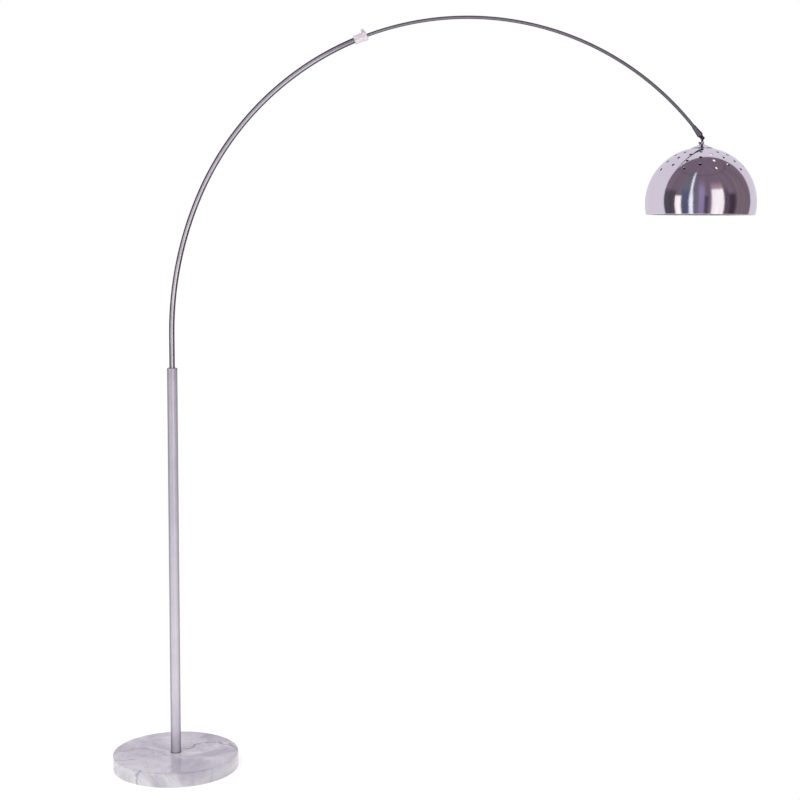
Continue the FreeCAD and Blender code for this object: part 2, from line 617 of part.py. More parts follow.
def make_cap():
    neck = "cap_neck_diameter / 2"
    neck_low = "(-cap_drop - cap_neck_length)"
    cap = turned("shade_cap", [
        (SHANK_BORE, "-cap_drop"), (neck + " - 0.6", "-cap_drop"), (neck, "-cap_drop - 0.6"),
        (neck, neck_low), ("cap_radius", CAP_RIM + " + cap_rim_gap + cap_wall"),
        ("cap_radius", CAP_RIM + " + cap_rim_gap"), ("cap_radius - cap_wall", CAP_RIM + " + cap_rim_gap"),
        (neck, neck_low + " - cap_wall"), (SHANK_BORE, neck_low + " - cap_wall")], at=PIN)
    hole = circle_on(cap, "YZ_Plane", "0", "-cap_screw_drop", "cap_screw_diameter / 2 + fit_gap")
    pocket(cap, hole, "cap_neck_diameter", reverse=False)
    head_low = "(cap_neck_diameter / 2 + fit_gap)"
    nose = "(shank_diameter / 2 + free_gap)"
    turned("cap_set_screw", [
        ("0", nose), ("cap_screw_diameter / 2", nose), ("cap_screw_diameter / 2", head_low),
        ("cap_screw_head_diameter / 2", head_low),
        ("cap_screw_head_diameter / 2", head_low + " + cap_screw_head_height - 0.6"),
        ("cap_screw_head_diameter / 2 - 0.6", head_low + " + cap_screw_head_height"),
        ("0", head_low + " + cap_screw_head_height")],
        at=(PIN[0], "0", PIN[2] + " - cap_screw_drop"), turn="-90")


def make_shade():
    """A spun dome: a shell past its half, a rolled bead at the rim and staggered rings of vents."""
    shade = body_of("shade_dome", (PIN[0], "0", PIN[2] + " + " + SHADE_MIDDLE))
    inner = "shade_radius - shade_wall"
    revolve(shade, outline_on(
        shade, "XZ_Plane",
        [(None, "-shade_rim_drop"), ("shade_bore_radius", None),
         ("shade_bore_radius", None), (None, "-shade_rim_drop")],
        {0: ("0", "shade_radius", 1), 2: ("0", inner, 1)}))
    rim_radius = "sqrt(shade_radius * shade_radius - shade_rim_drop * shade_rim_drop) - bead_radius"
    revolve(shade, circle_on(shade, "XZ_Plane", rim_radius, "-shade_rim_drop", "bead_radius"))
    for row in range(6):
        polar = number("vent_first_turn + %d * vent_step_turn" % row)
        azimuth = number("vent_azimuth + %d * 180 / vent_count" % (row % 2))
        vent = circle_on(shade, "XY_Plane", "0", "0", "vent_diameter / 2")
        vent.AttachmentOffset = Placement(Vector(0, 0, 0), Rotation(Vector(0, 0, 1), azimuth)
                                          * Rotation(Vector(0, 1, 0), polar))
        around(shade, pocket(shade, vent, "shade_radius + 5", reverse=True), "vent_count")


def make_hanger():
    """The nut in the cap and the socket under the dome clamp the dome between them."""
    ring("fibre_washer", SPIGOT_BORE, "socket_diameter / 2", UNDER_CROWN + " - fibre_washer_thickness",
         UNDER_CROWN, at=PIN)
    spigot_top = "(" + SHADE_CROWN + " + spigot_rise)"
    turned("cap_nut", [
        (SPIGOT_BORE, SHADE_CROWN + " + face_gap"), ("cap_nut_diameter / 2", SHADE_CROWN + " + face_gap"),
        ("cap_nut_diameter / 2", spigot_top + " + 1"), (SHANK_BORE, spigot_top + " + 1"),
        (SHANK_BORE, spigot_top + " + face_gap"), (SPIGOT_BORE, spigot_top + " + face_gap")], at=PIN)
    cavity = "flange_diameter / 2 + running_gap"
    flange_top = "(-flange_depth + flange_thickness + face_gap)"
    flange_low = "(-flange_depth - face_gap)"
    stem_bore = "stem_diameter / 2 + fit_gap"
    turned("swivel_socket", [
        (SHANK_BORE, spigot_top), ("spigot_diameter / 2", spigot_top),
        ("spigot_diameter / 2", SOCKET_TOP), ("socket_diameter / 2", SOCKET_TOP),
        ("socket_diameter / 2", SOCKET_FOOT + " + 1"), ("socket_diameter / 2 - 1", SOCKET_FOOT),
        (stem_bore, SOCKET_FOOT), (stem_bore, flange_low), (cavity, flange_low),
        (cavity, flange_top), (SHANK_BORE, flange_top)], at=PIN)


STEM_TOP = "(" + SOCKET_FOOT + " + stem_in_socket)"
STEM_LOW = "(" + STEM_TOP + " - stem_length)"
LOCK_NUT_LOW = "(" + SOCKET_FOOT + " - 0.5 - lock_nut_thickness)"
HOLDER_TOP = "(" + LOCK_NUT_LOW + " - face_gap)"
HOLDER_SEAM = "(" + HOLDER_TOP + " - holder_cap_length)"
HOLDER_LOW = "(" + HOLDER_SEAM + " - holder_length)"
INSERT_TOP = "(" + HOLDER_SEAM + " - 1)"


def make_stem():
    ring("shade_stem", "stem_bore / 2", "stem_diameter / 2", STEM_LOW, STEM_TOP, at=PIN)
    hex_nut("stem_lock_nut", "lock_nut_across_corners", "lock_nut_thickness", "stem_diameter / 2 + fit_gap",
            (PIN[0], "0", PIN[2] + " + " + LOCK_NUT_LOW))
    lead = doc.addObject("Part::Cylinder", "shade_lead")
    bind(lead, Radius="lead_diameter / 2", Height="stem_length - 2")
    place(named(lead, "lead_in_shade"), (PIN[0], "0", PIN[2] + " + " + STEM_LOW + " + 1"))


def make_lampholder():
    stem_bore = "stem_diameter / 2 + fit_gap"
    small = "holder_cap_diameter / 2"
    large = "(thread_radius + thread_wall + holder_space + holder_wall)"
    turned("lampholder_cap", [
        (stem_bore, HOLDER_TOP), (small + " - 2", HOLDER_TOP), (small, HOLDER_TOP + " - 2"),
        (large, HOLDER_SEAM + " + 4"), (large, HOLDER_SEAM + " + face_gap"),
        (large + " - holder_wall", HOLDER_SEAM + " + face_gap"),
        (large + " - holder_wall", HOLDER_SEAM + " + 3"), (small + " - holder_wall", HOLDER_TOP + " - 5"),
        (stem_bore, HOLDER_TOP + " - 5")], at=PIN)
    turned("lampholder_body", [
        (large + " - holder_wall", HOLDER_SEAM), (large, HOLDER_SEAM), (large, HOLDER_LOW + " + 1.5"),
        (large + " - 1.5", HOLDER_LOW),
        ("thread_radius + thread_wall + face_gap", HOLDER_LOW),
        ("thread_radius + thread_wall + face_gap", HOLDER_LOW + " + 2"),
        (large + " - holder_wall", HOLDER_LOW + " + 3")], at=PIN)
    insert_low = "(" + INSERT_TOP + " - insert_thickness)"
    ring("lampholder_insert", "1.6", large + " - holder_wall - fit_gap", insert_low, INSERT_TOP, at=PIN)
    turned("centre_contact", [
        ("0", insert_low + " - 2"), ("3", insert_low + " - 2"), ("3", insert_low + " - face_gap"),
        ("1.5", insert_low + " - face_gap"), ("1.5", INSERT_TOP), ("0", INSERT_TOP)], at=PIN)
    ring("thread_shell", "thread_radius", "thread_radius + thread_wall", HOLDER_LOW + " + 1",
         insert_low + " - face_gap", at=PIN)


def make_bulb():
    """A frosted globe bulb on a screw cap, hollow as the real one is."""
    seat = "(" + HOLDER_LOW + " - 1)"
    top = "(" + seat + " + bulb_cap_length)"
    middle = "(" + top + " - bulb_length + bulb_radius)"
    inner = "bulb_radius - bulb_wall"
    shoulder = middle + " + bulb_shoulder"
    neck = "bulb_cap_radius - 0.6"
    turned("bulb_glass", [
        (neck, seat + " + 6"), (neck, seat + " - 3"), (None, shoulder), ("0", None),
        ("0", None), (None, shoulder), (neck + " - bulb_wall", seat + " - 3"),
        (neck + " - bulb_wall", seat + " + 6")],
        {2: (middle, "bulb_radius", -1), 4: (middle, inner, -1)}, at=PIN)
    turned("bulb_cap", [
        (neck + " + fit_gap", seat), ("bulb_cap_radius", seat), ("bulb_cap_radius", top + " - 6"),
        ("5.4", top + " - 2"), ("5.4", top + " - 2.6"), (neck + " + fit_gap", top + " - 7")], at=PIN)
    turned("bulb_contact", [
        ("0", top + " - 2.9"), ("5.2", top + " - 2.9"), ("5.2", top + " - 1.5"), ("4", top), ("0", top)],
        at=PIN)


# ---------------------------------------------------------------- build, check and write

make_marble_base()
make_base_clamp()
make_cable_grommet()
make_base_lead()
make_pole()
make_lower_arm()
make_collar()
make_collar_screw()
make_upper_arm()
make_ferrule()
make_fork()
make_tilt_screw()
make_link()
make_cap()
make_shade()
make_hanger()
make_stem()
make_lampholder()
make_bulb()
doc.recompute()

for thing in doc.Objects:
    if "Invalid" in thing.State or "Error" in thing.State:
        raise RuntimeError("%s failed: %s" % (thing.Label, thing.State))
for thing in sub_parts:
    if thing.Shape.isNull() or not thing.Shape.isValid() or not thing.Shape.Solids:
        raise RuntimeError(thing.Label + " has no sound shape")

os.makedirs("parts", exist_ok=True)
for thing in sub_parts:
    thing.Shape.exportStep("parts/%s.step" % thing.Label)
print(len(sub_parts), "sub-parts written")
print("arc centre", round(number(ARC_X), 3), round(number(ARC_Z), 3))
print("pin", round(number(PIN[0]), 3), round(number(PIN[2]), 3))
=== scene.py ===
import json
import math

import bpy
import numpy as np
from mathutils import Matrix, Vector


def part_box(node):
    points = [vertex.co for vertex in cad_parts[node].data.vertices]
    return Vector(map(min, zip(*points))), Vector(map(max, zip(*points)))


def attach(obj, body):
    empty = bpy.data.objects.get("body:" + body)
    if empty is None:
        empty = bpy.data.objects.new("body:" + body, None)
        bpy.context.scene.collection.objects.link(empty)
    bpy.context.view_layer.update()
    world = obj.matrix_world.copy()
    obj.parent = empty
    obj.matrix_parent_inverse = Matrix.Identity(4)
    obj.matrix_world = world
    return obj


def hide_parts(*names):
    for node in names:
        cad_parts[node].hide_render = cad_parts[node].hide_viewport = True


# Looks of an arc floor lamp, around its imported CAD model. Metres; +Z up, +X from pole to shade.

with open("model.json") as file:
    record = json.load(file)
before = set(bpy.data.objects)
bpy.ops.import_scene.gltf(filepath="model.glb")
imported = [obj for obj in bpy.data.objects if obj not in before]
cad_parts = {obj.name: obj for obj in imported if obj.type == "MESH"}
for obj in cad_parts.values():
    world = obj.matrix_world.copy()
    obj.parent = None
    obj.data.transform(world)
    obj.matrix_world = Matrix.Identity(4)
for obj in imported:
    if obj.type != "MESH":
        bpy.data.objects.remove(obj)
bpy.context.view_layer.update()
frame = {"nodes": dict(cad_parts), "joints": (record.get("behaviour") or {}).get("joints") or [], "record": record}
NODES = frame["nodes"]
JOINTS = {joint["name"]: joint for joint in frame["joints"]}

TURN = 2 * math.pi
MM = 0.001


# ---------------------------------------------------------------- places taken from the frame

# the tilt pin, the arc's centre and the ends of the upright pieces
PIN = Vector(JOINTS["shade_tilt"]["pos_m"])
ARC = Vector(JOINTS["arm_telescope"]["pos_m"])
POLE_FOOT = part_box("pole")[0].z
POLE_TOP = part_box("pole")[1].z
ARM_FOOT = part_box("lower_arm_tube")[0].z

# the arm's two arcs, and the turns from upright at which its pieces start and end
ARC_RADIUS = 0.795
LEAD_RADIUS = 0.945
LEAD_START = 1.218
LEAD_TURN = math.radians(23.65)
COLLAR_TURN = math.radians(68.2)
UPPER_START_TURN = math.radians(52.2)
TIP_TURN = math.radians(142.3)


# ---------------------------------------------------------------- surfaces

def piece(name, points, body, material, stands_for):
    """A quad surface through a grid of points.

    Both of its parameters run round a closed way, so the last row joins the first one, and the
    last column the first one.
    """
    rows, columns = points.shape[:2]
    here = np.arange(rows * columns).reshape(rows, columns)
    ahead = np.roll(here, -1, 0)
    quads = np.stack([here, ahead, np.roll(ahead, -1, 1), np.roll(here, -1, 1)], -1).reshape(-1, 4)
    mesh = bpy.data.meshes.new(name)
    mesh.from_pydata(points.reshape(-1, 3), [], quads)
    finish_piece(mesh, name, body, material, stands_for)


def finish_piece(mesh, name, body, material, stands_for):
    """Give a mesh smooth faces, its finish, its body and the CAD nodes it stands for."""
    mesh.polygons.foreach_set("use_smooth", np.full(len(mesh.polygons), True))
    mesh.update()
    thing = bpy.data.objects.new(name, mesh)
    bpy.context.scene.collection.objects.link(thing)
    mesh.materials.append(material)
    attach(thing, body)
    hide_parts(*stands_for)


# the most that a corner's rounding takes from its shorter edge, as a share of that edge
MOST_CUT = 0.4


def rounded(corners, radius, steps=4):
    """A closed outline with each corner turned on a small arc.

    At each corner the outline leaves its edge at the radius from the corner, or at two fifths of a
    short edge, and follows the parabola through both leaving points that heads for the corner.
    """
    corners = np.asarray(corners, float)
    before = np.roll(corners, 1, 0) - corners
    after = np.roll(corners, -1, 0) - corners
    length_before = np.linalg.norm(before, axis=1, keepdims=True)
    length_after = np.linalg.norm(after, axis=1, keepdims=True)
    cut = np.minimum(radius, MOST_CUT * np.minimum(length_before, length_after))
    start = corners + before / length_before * cut
    end = corners + after / length_after * cut
    t = np.linspace(0, 1, steps)[None, :, None]
    bends = ((1 - t) ** 2 * start[:, None] + 2 * t * (1 - t) * corners[:, None]
             + t ** 2 * end[:, None])
    return bends.reshape(-1, 2)


def profile(corners, radius):
    """A rounded outline from corners and a radius in millimetres."""
    return rounded(np.array(corners) * MM, radius * MM)


def finer(outline, longest):
    """The same closed outline with points added on its straight runs, none longer than a length."""
    outline = np.asarray(outline, float)
    ahead = np.roll(outline, -1, 0)
    counts = np.maximum(1, np.ceil(np.linalg.norm(ahead - outline, axis=1) / longest)).astype(int)
    shares = np.concatenate([np.arange(count) / count for count in counts])
    starts = np.repeat(outline, counts, axis=0)
    ends = np.repeat(ahead, counts, axis=0)
    return starts + (ends - starts) * shares[:, None]


def frame_at(origin, along, side=(0, 1, 0)):
    """Origin and three axes of a local frame: its third axis runs along a direction."""
    along = Vector(along).normalized()
    side = Vector(side)
    side = (side - along * side.dot(along)).normalized()
    across = side.cross(along)
    return np.array(origin), np.array([across, side, along])


UPRIGHT = (0, 0, 1)


def turned(name, outline, place, body, material, stands_for, sides=64, swell=None):
    """A closed outline of (radius, height) carried round an axis.

    A point is origin + radius (cos a across + sin a side) + height along, for a from 0 to a full
    turn; swell(a, radius, height) may multiply the radius, as a knurl does.
    """
    origin, axes = place
    outline = np.asarray(outline, float)
    angle = np.linspace(0, TURN, sides, endpoint=False)[None, :]
    radius = outline[:, :1] * np.ones_like(angle)
    height = outline[:, 1:] * np.ones_like(angle)
    if swell:
        radius = radius * swell(angle, radius, height)
    local = np.stack([radius * np.cos(angle), radius * np.sin(angle), height], -1)
    piece(name, origin + local @ axes, body, material, stands_for)


def arm_line(length):
    """Points and directions along the arm at lengths from its foot, in the XZ plane.

    It rises straight to the lead arc, turns on the lead arc's radius, then on the main arc's.
    A turn t from upright gives the direction (sin t, cos t).
    """
    straight = LEAD_START - ARM_FOOT
    lead = LEAD_RADIUS * LEAD_TURN
    on_lead = np.clip((length - straight) / LEAD_RADIUS, 0, LEAD_TURN)
    on_main = np.clip((length - straight - lead) / ARC_RADIUS, 0, None)
    turn = on_lead + on_main
    x_lead = LEAD_RADIUS * (1 - np.cos(on_lead))
    z_lead = np.minimum(ARM_FOOT + length, LEAD_START) + LEAD_RADIUS * np.sin(on_lead)
    x = np.where(on_main > 0, ARC.x - ARC_RADIUS * np.cos(turn), x_lead)
    z = np.where(on_main > 0, ARC.z + ARC_RADIUS * np.sin(turn), z_lead)
    return x, z, turn


def arm_length(turn):
    """Length from the arm's foot to a turn on the main arc."""
    return LEAD_START - ARM_FOOT + LEAD_RADIUS * LEAD_TURN + ARC_RADIUS * (turn - LEAD_TURN)


# how far a tube's two ends are broken, as a share of its wall
LIP_SHARE = 0.35


def bent_tube(name, start, end, outer, inner, body, material, stands_for, rings=220, sides=48):
    """A tube along the arm, with its ends broken a little.

    Its rings run along the outside and come back along the bore. A ring at a length s is the arm's
    point at s + r (cos a outward + sin a Y), with r the outer or the inner radius.
    """
    forth = np.linspace(start, end, rings)
    lip = LIP_SHARE * (outer - inner)
    run = np.concatenate([[start], forth[1:-1], [end], [end], forth[::-1][1:-1], [start]])
    reach = np.concatenate([np.full(rings, outer), np.full(rings, inner)])
    reach[[0, rings - 1]] -= lip
    reach[[rings, -1]] += lip
    x, z, turn = arm_line(run)
    angle = np.linspace(0, TURN, sides, endpoint=False)[None, :]
    out = reach[:, None] * np.cos(angle)
    points = np.stack([x[:, None] - out * np.cos(turn)[:, None],
                       reach[:, None] * np.sin(angle),
                       z[:, None] + out * np.sin(turn)[:, None]], -1)
    piece(name, points[:, ::-1], body, material, stands_for)


def on_arc(turn, along=0.0):
    """A point on the main arc at a turn, moved a length along the arc's direction there."""
    return Vector((ARC.x - ARC_RADIUS * math.cos(turn) + along * math.sin(turn), 0,
                   ARC.z + ARC_RADIUS * math.sin(turn) + along * math.cos(turn)))


def along_arc(turn):
    """The main arc's direction at a turn."""
    return Vector((math.sin(turn), 0, math.cos(turn)))


def out_of_arc(turn):
    """The way out from the main arc's centre at a turn."""
    return Vector((-math.cos(turn), 0, math.sin(turn)))


# ---------------------------------------------------------------- materials

class Finish:
    """A material with a Principled surface, and short ways to add the nodes that feed it."""

    def __init__(self, name, **sockets):
        self.material = bpy.data.materials.new(name)
        self.material.use_nodes = True
        self.tree = self.material.node_tree
        self.surface = self.tree.nodes["Principled BSDF"]
        for socket, value in sockets.items():
            self.surface.inputs[socket.replace("_", " ")].default_value = value

    def node(self, kind, inputs=None, **settings):
        """A new node, with its settings and with a value or a link on each input named."""
        made = self.tree.nodes.new("ShaderNode" + kind)
        for name, value in settings.items():
            setattr(made, name, value)
        for socket, value in (inputs or {}).items():
            self.feed(made.inputs[socket], value)
        return made

    def feed(self, socket, value):
        """Link a socket to an output, or set its value."""
        if isinstance(value, bpy.types.NodeSocket):
            self.tree.links.new(value, socket)
        else:
            socket.default_value = value

    def at(self, scale=(1, 1, 1), place=(0, 0, 0)):
        """Object coordinates, scaled and moved."""
        coordinates = self.node("TexCoord").outputs["Object"]
        return self.node("Mapping", {"Vector": coordinates, "Scale": scale,
                                     "Location": place}).outputs["Vector"]

    def noise(self, scale, where=None, detail=3.0, rough=0.5, twist=0.0):
        """A noise between 0 and 1, with scale bumps to the metre."""
        return self.node("TexNoise", {"Vector": where or self.at(), "Scale": scale, "Detail": detail,
                                      "Roughness": rough, "Distortion": twist}).outputs["Fac"]

    def sums(self, operation, *values):
        """One step of arithmetic on values or outputs."""
        return self.node("Math", dict(enumerate(values)), operation=operation).outputs[0]

    def spread(self, value, low, high, to_low=0.0, to_high=1.0, smooth=True):
        """A value's range brought to another range, held at its ends."""
        return self.node("MapRange", {"Value": value, "From Min": low, "From Max": high,
                                      "To Min": to_low, "To Max": to_high},
                         interpolation_type="SMOOTHSTEP" if smooth else "LINEAR").outputs["Result"]

    def blend(self, share, first, second):
        """A mix of two colours: all of the first at share 0, all of the second at share 1."""
        made = self.node("Mix", data_type="RGBA")
        self.feed(made.inputs["Factor"], share)
        for socket, colour in (("A", first), ("B", second)):
            target = [s for s in made.inputs if s.name == socket and s.type == "RGBA"][0]
            self.feed(target, colour if isinstance(colour, bpy.types.NodeSocket) else (*colour, 1))
        return [s for s in made.outputs if s.type == "RGBA"][0]

    def colour(self, value):
        """Set the surface's colour."""
        self.feed(self.surface.inputs["Base Color"], value)

    def rough(self, value):
        """Set the surface's roughness."""
        self.feed(self.surface.inputs["Roughness"], value)

    def bump(self, height, distance):
        """Raise the surface by a height from 0 to 1, over a distance in metres."""
        made = self.node("Bump", {"Height": height, "Distance": distance, "Strength": 1.0})
        self.feed(self.surface.inputs["Normal"], made.outputs["Normal"])


def polished(name, light, dark, rough, smear=0.03, grain=900.0, axis_scale=(1, 1, 1), bump=0.00002,
             metal=1.0, edge=None, along=()):
    """Metal with a fine grain, faint smears in its gloss and a slow drift between two tones.

    edge gives a painted shade: a darker tint and the range of Facing over which the metal turns to it,
    standing in for the darker reflection that a round tube shows towards its two sides. along lists
    stretches of X over which the tone changes to a darker one, a painted reflection along the arm.
    """
    finish = Finish(name, Metallic=metal)
    drift = finish.noise(9.0, detail=4.0)
    colour = finish.blend(finish.spread(drift, 0.35, 0.65), dark, light)
    # painted reflection: the tone darkens over stretches of X, as darker surroundings mirrored along the arm
    if along:
        x = finish.node("SeparateXYZ", {0: finish.at()}).outputs["X"]
        for low, high, tint in along:
            colour = finish.blend(finish.spread(x, low, high), colour, tint)
    # painted shade: the colour darkens by Facing towards a tube's sides, standing in for its darker reflection
    # there
    if edge:
        tint, low, high = edge
        facing = finish.node("LayerWeight", {"Blend": 0.5}).outputs["Facing"]
        colour = finish.blend(finish.spread(facing, low, high), colour, tint)
    finish.colour(colour)
    smears = finish.noise(38.0, finish.at(axis_scale), detail=5.0, rough=0.6)
    finish.rough(finish.spread(smears, 0.3, 0.7, rough - smear, rough + smear))
    fine = finish.noise(grain, finish.at(axis_scale), detail=2.0)
    finish.bump(fine, bump)
    return finish.material


def moulded(name, colour, rough, grain=600.0, bump=0.00008, tone=0.85):
    """Plastic, rubber or enamel: an even colour, mottled a little, with a fine skin."""
    finish = Finish(name)
    drift = finish.spread(finish.noise(45.0, detail=4.0), 0.3, 0.7)
    darker = tuple(part * tone for part in colour)
    finish.colour(finish.blend(drift, darker, colour))
    finish.rough(finish.spread(finish.noise(120.0, detail=4.0), 0.3, 0.7, rough * 0.85, rough * 1.15))
    finish.bump(finish.noise(grain, detail=3.0), bump)
    return finish.material


# frequency, place, half width, colour, twist, share
WANDERING_VEINS = (
    (3.6, (0.9, 1.7, 0.2), 0.014, (0.34, 0.31, 0.38), 1.4, 0.55),
    (6.5, (3.4, 0.2, 1.1), 0.014, (0.42, 0.39, 0.46), 1.6, 0.45),
    (15.0, (1.3, 2.9, 0.6), 0.020, (0.52, 0.50, 0.56), 1.4, 0.35),
)
# axis it runs along, crest, bend, where the crest is, start, end, half width, colour, share
LAID_VEINS = (
    ("x", 0.078, -10.0, 0.100, 0.014, 0.175, 0.0095, (0.20, 0.19, 0.26), 0.90),
    ("x", 0.010, 0.0, 0.0, 0.120, 0.175, 0.0300, (0.46, 0.40, 0.45), 0.70),
    ("x", -0.066, 3.0, -0.140, -0.175, -0.100, 0.0090, (0.26, 0.23, 0.28), 0.75),
    ("x", 0.020, -6.0, -0.100, -0.170, -0.020, 0.0110, (0.38, 0.37, 0.44), 0.60),
    ("x", -0.030, 8.0, -0.040, -0.080, 0.000, 0.0090, (0.40, 0.39, 0.46), 0.45),
    ("y", -0.085, 0.0, 0.0, -0.180, -0.140, 0.0060, (0.34, 0.36, 0.48), 0.75),
    ("y", 0.120, 0.0, 0.0, -0.180, -0.120, 0.0100, (0.48, 0.45, 0.50), 0.50),
)
# length over which a laid vein fades at each end, and how far it is shaken to both sides
VEIN_FADE = 0.012
VEIN_SHAKE = 0.035


def marble():
    """Polished pale marble: cloudy ground, wandering grey-purple veins, thin cracks and dark flecks.

    A wandering vein is where a slow, twisted noise passes through its middle value; a second noise
    thins it out and breaks it up. The few strong veins are laid out: each follows a parabola across
    the slab, shaken by a noise, between two places on its way.
    """
    finish = Finish("marble", Specular_IOR_Level=0.5, Coat_Weight=0.30, Coat_Roughness=0.06)
    cloud_noise = finish.noise(6.0, finish.at(place=(2.1, 0.4, 0.3)), 7.0, 0.60, 0.8)
    clouds = finish.spread(cloud_noise, 0.36, 0.66)
    colour = finish.blend(clouds, (0.49, 0.47, 0.54), (0.84, 0.85, 0.85))
    for scale, place, half, tint, twist, share in WANDERING_VEINS:
        wander = finish.noise(scale, finish.at(place=place), 5.0, 0.55, twist)
        away = finish.sums("ABSOLUTE", finish.sums("SUBTRACT", wander, 0.5))
        line = finish.spread(away, 0.0, half, 1.0, 0.0)
        thinning = finish.noise(scale * 1.7, finish.at(place=place[::-1]), 3.0)
        line = finish.sums("MULTIPLY", line, finish.spread(thinning, 0.48, 0.66))
        colour = finish.blend(finish.sums("MULTIPLY", line, share), colour, tint)
    x, y, _ = finish.node("SeparateXYZ", {0: finish.at()}).outputs
    shaking = finish.noise(26.0, finish.at(place=(0.3, 0.8, 0)), 4.0)
    shaken = finish.sums("MULTIPLY_ADD", shaking, 2 * VEIN_SHAKE, -VEIN_SHAKE)
    ragged = finish.noise(60.0, finish.at(place=(0.1, 0.5, 0)), 3.0)
    for axis, crest, bend, crest_at, low, high, half, tint, share in LAID_VEINS:
        along, across = (x, y) if axis == "x" else (y, x)
        offset = finish.sums("SUBTRACT", along, crest_at)
        course = finish.sums("MULTIPLY_ADD", finish.sums("MULTIPLY", offset, offset), bend, crest)
        apart = finish.sums("SUBTRACT", finish.sums("ADD", across, shaken), course)
        line = finish.spread(finish.sums("ABSOLUTE", apart), 0.0, half, 1.0, 0.0)
        ends = finish.sums("MULTIPLY", finish.spread(along, low, low + VEIN_FADE),
                           finish.spread(along, high - VEIN_FADE, high, 1.0, 0.0))
        line = finish.sums("MULTIPLY", line, finish.spread(ragged, 0.30, 0.55, 0.45, 1.0))
        line = finish.sums("MULTIPLY", line, ends)
        colour = finish.blend(finish.sums("MULTIPLY", line, share), colour, tint)
    flecks = finish.spread(finish.noise(95.0, detail=2.0), 0.70, 0.76)
    colour = finish.blend(finish.sums("MULTIPLY", flecks, 0.5), colour, (0.26, 0.22, 0.28))
    finish.colour(colour)
    finish.rough(finish.spread(clouds, 0.0, 1.0, 0.22, 0.13, smooth=False))
    finish.bump(finish.noise(60.0, detail=6.0), 0.00005)
    return finish.material


def felt():
    """Black felt: a matted, fluffy surface."""
    finish = Finish("felt", Sheen_Weight=0.4, Sheen_Roughness=0.5)
    fluff = finish.noise(700.0, detail=6.0, rough=0.8)
    finish.colour(finish.blend(fluff, (0.012, 0.012, 0.013), (0.05, 0.05, 0.055)))
    finish.rough(0.95)
    finish.bump(fluff, 0.0004)
    return finish.material


def frosted_glass():
    """Frosted white bulb glass."""
    finish = Finish("bulb_frost", Transmission_Weight=0.35, IOR=1.45)
    finish.colour(finish.blend(finish.noise(30.0), (0.80, 0.80, 0.79), (0.88, 0.88, 0.87)))
    finish.rough(finish.spread(finish.noise(400.0), 0.3, 0.7, 0.42, 0.52))
    return finish.material


# heights over the rim between which the painted band of light inside the dome ends
PAINTED_BAND_TOP = (0.016, 0.024)


def shade_inside():
    """The inside of the dome: dull and dark, with a painted band of light just above the rolled rim."""
    finish = Finish("shade_inside", Metallic=0.2)
    height = finish.node("SeparateXYZ", {0: finish.at()}).outputs["Z"]
    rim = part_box("shade_dome")[0].z
    # painted light: a near-white band over the lowest 16 to 24 mm of the inside, above the rim
    painted_light_band = finish.spread(height, rim + PAINTED_BAND_TOP[0], rim + PAINTED_BAND_TOP[1], 1.0, 0.0)
    mottle = finish.spread(finish.noise(60.0, detail=4.0), 0.3, 0.7)
    dull = finish.blend(mottle, (0.030, 0.026, 0.032), (0.045, 0.040, 0.048))
    finish.colour(finish.blend(painted_light_band, dull, (0.93, 0.92, 0.93)))
    finish.rough(finish.spread(finish.noise(120.0), 0.3, 0.7, 0.55, 0.65))
    finish.bump(finish.noise(420.0, detail=2.0), 0.00002)
    return finish.material


INSIDE_METAL = shade_inside()
# painted shade: the edge tint darkens the pole towards its two sides
POLE_METAL = polished("pole_satin", (0.80, 0.77, 0.84), (0.73, 0.70, 0.77), 0.42, 0.04, grain=500.0,
                      axis_scale=(1, 1, 0.06), metal=0.7, edge=((0.28, 0.26, 0.29), 0.10, 0.70))
# painted shade: the edge tint darkens the arm tubes and ferrule towards their sides; painted reflection: the along
# tints darken the arm in stretches out along X
ARM_METAL = polished("arm_chrome", (1.0, 0.95, 0.98), (0.80, 0.75, 0.80), 0.16, 0.03, bump=0.000004,
                     metal=0.65, edge=((0.05, 0.04, 0.06), 0.02, 0.24),
                     along=((0.07, 0.17, (0.66, 0.62, 0.70)), (0.38, 0.50, (0.38, 0.36, 0.40)),
                            (0.85, 1.30, (0.24, 0.22, 0.26))))
# painted shade: the edge tint darkens the collar and its knob towards their sides
COLLAR_METAL = polished("collar_satin", (0.95, 0.87, 0.91), (0.86, 0.79, 0.83), 0.32, 0.04,
                        bump=0.000006, metal=0.45, edge=((0.50, 0.46, 0.50), 0.35, 0.8))
SHADE_METAL = polished("shade_polish", (0.86, 0.83, 0.88), (0.82, 0.79, 0.85), 0.075, 0.02,
                       grain=420.0, axis_scale=(1, 1, 9))
STEEL = polished("plain_steel", (0.56, 0.56, 0.58), (0.44, 0.44, 0.46), 0.34, 0.06)
BRASS = polished("brass", (0.80, 0.60, 0.28), (0.68, 0.48, 0.20), 0.28, 0.05)
CAP_METAL = polished("bulb_cap_metal", (0.72, 0.72, 0.72), (0.60, 0.60, 0.60), 0.3, 0.05)
BLACK_STEEL = moulded("black_enamel", (0.016, 0.015, 0.018), 0.22, grain=900.0, bump=0.00004)

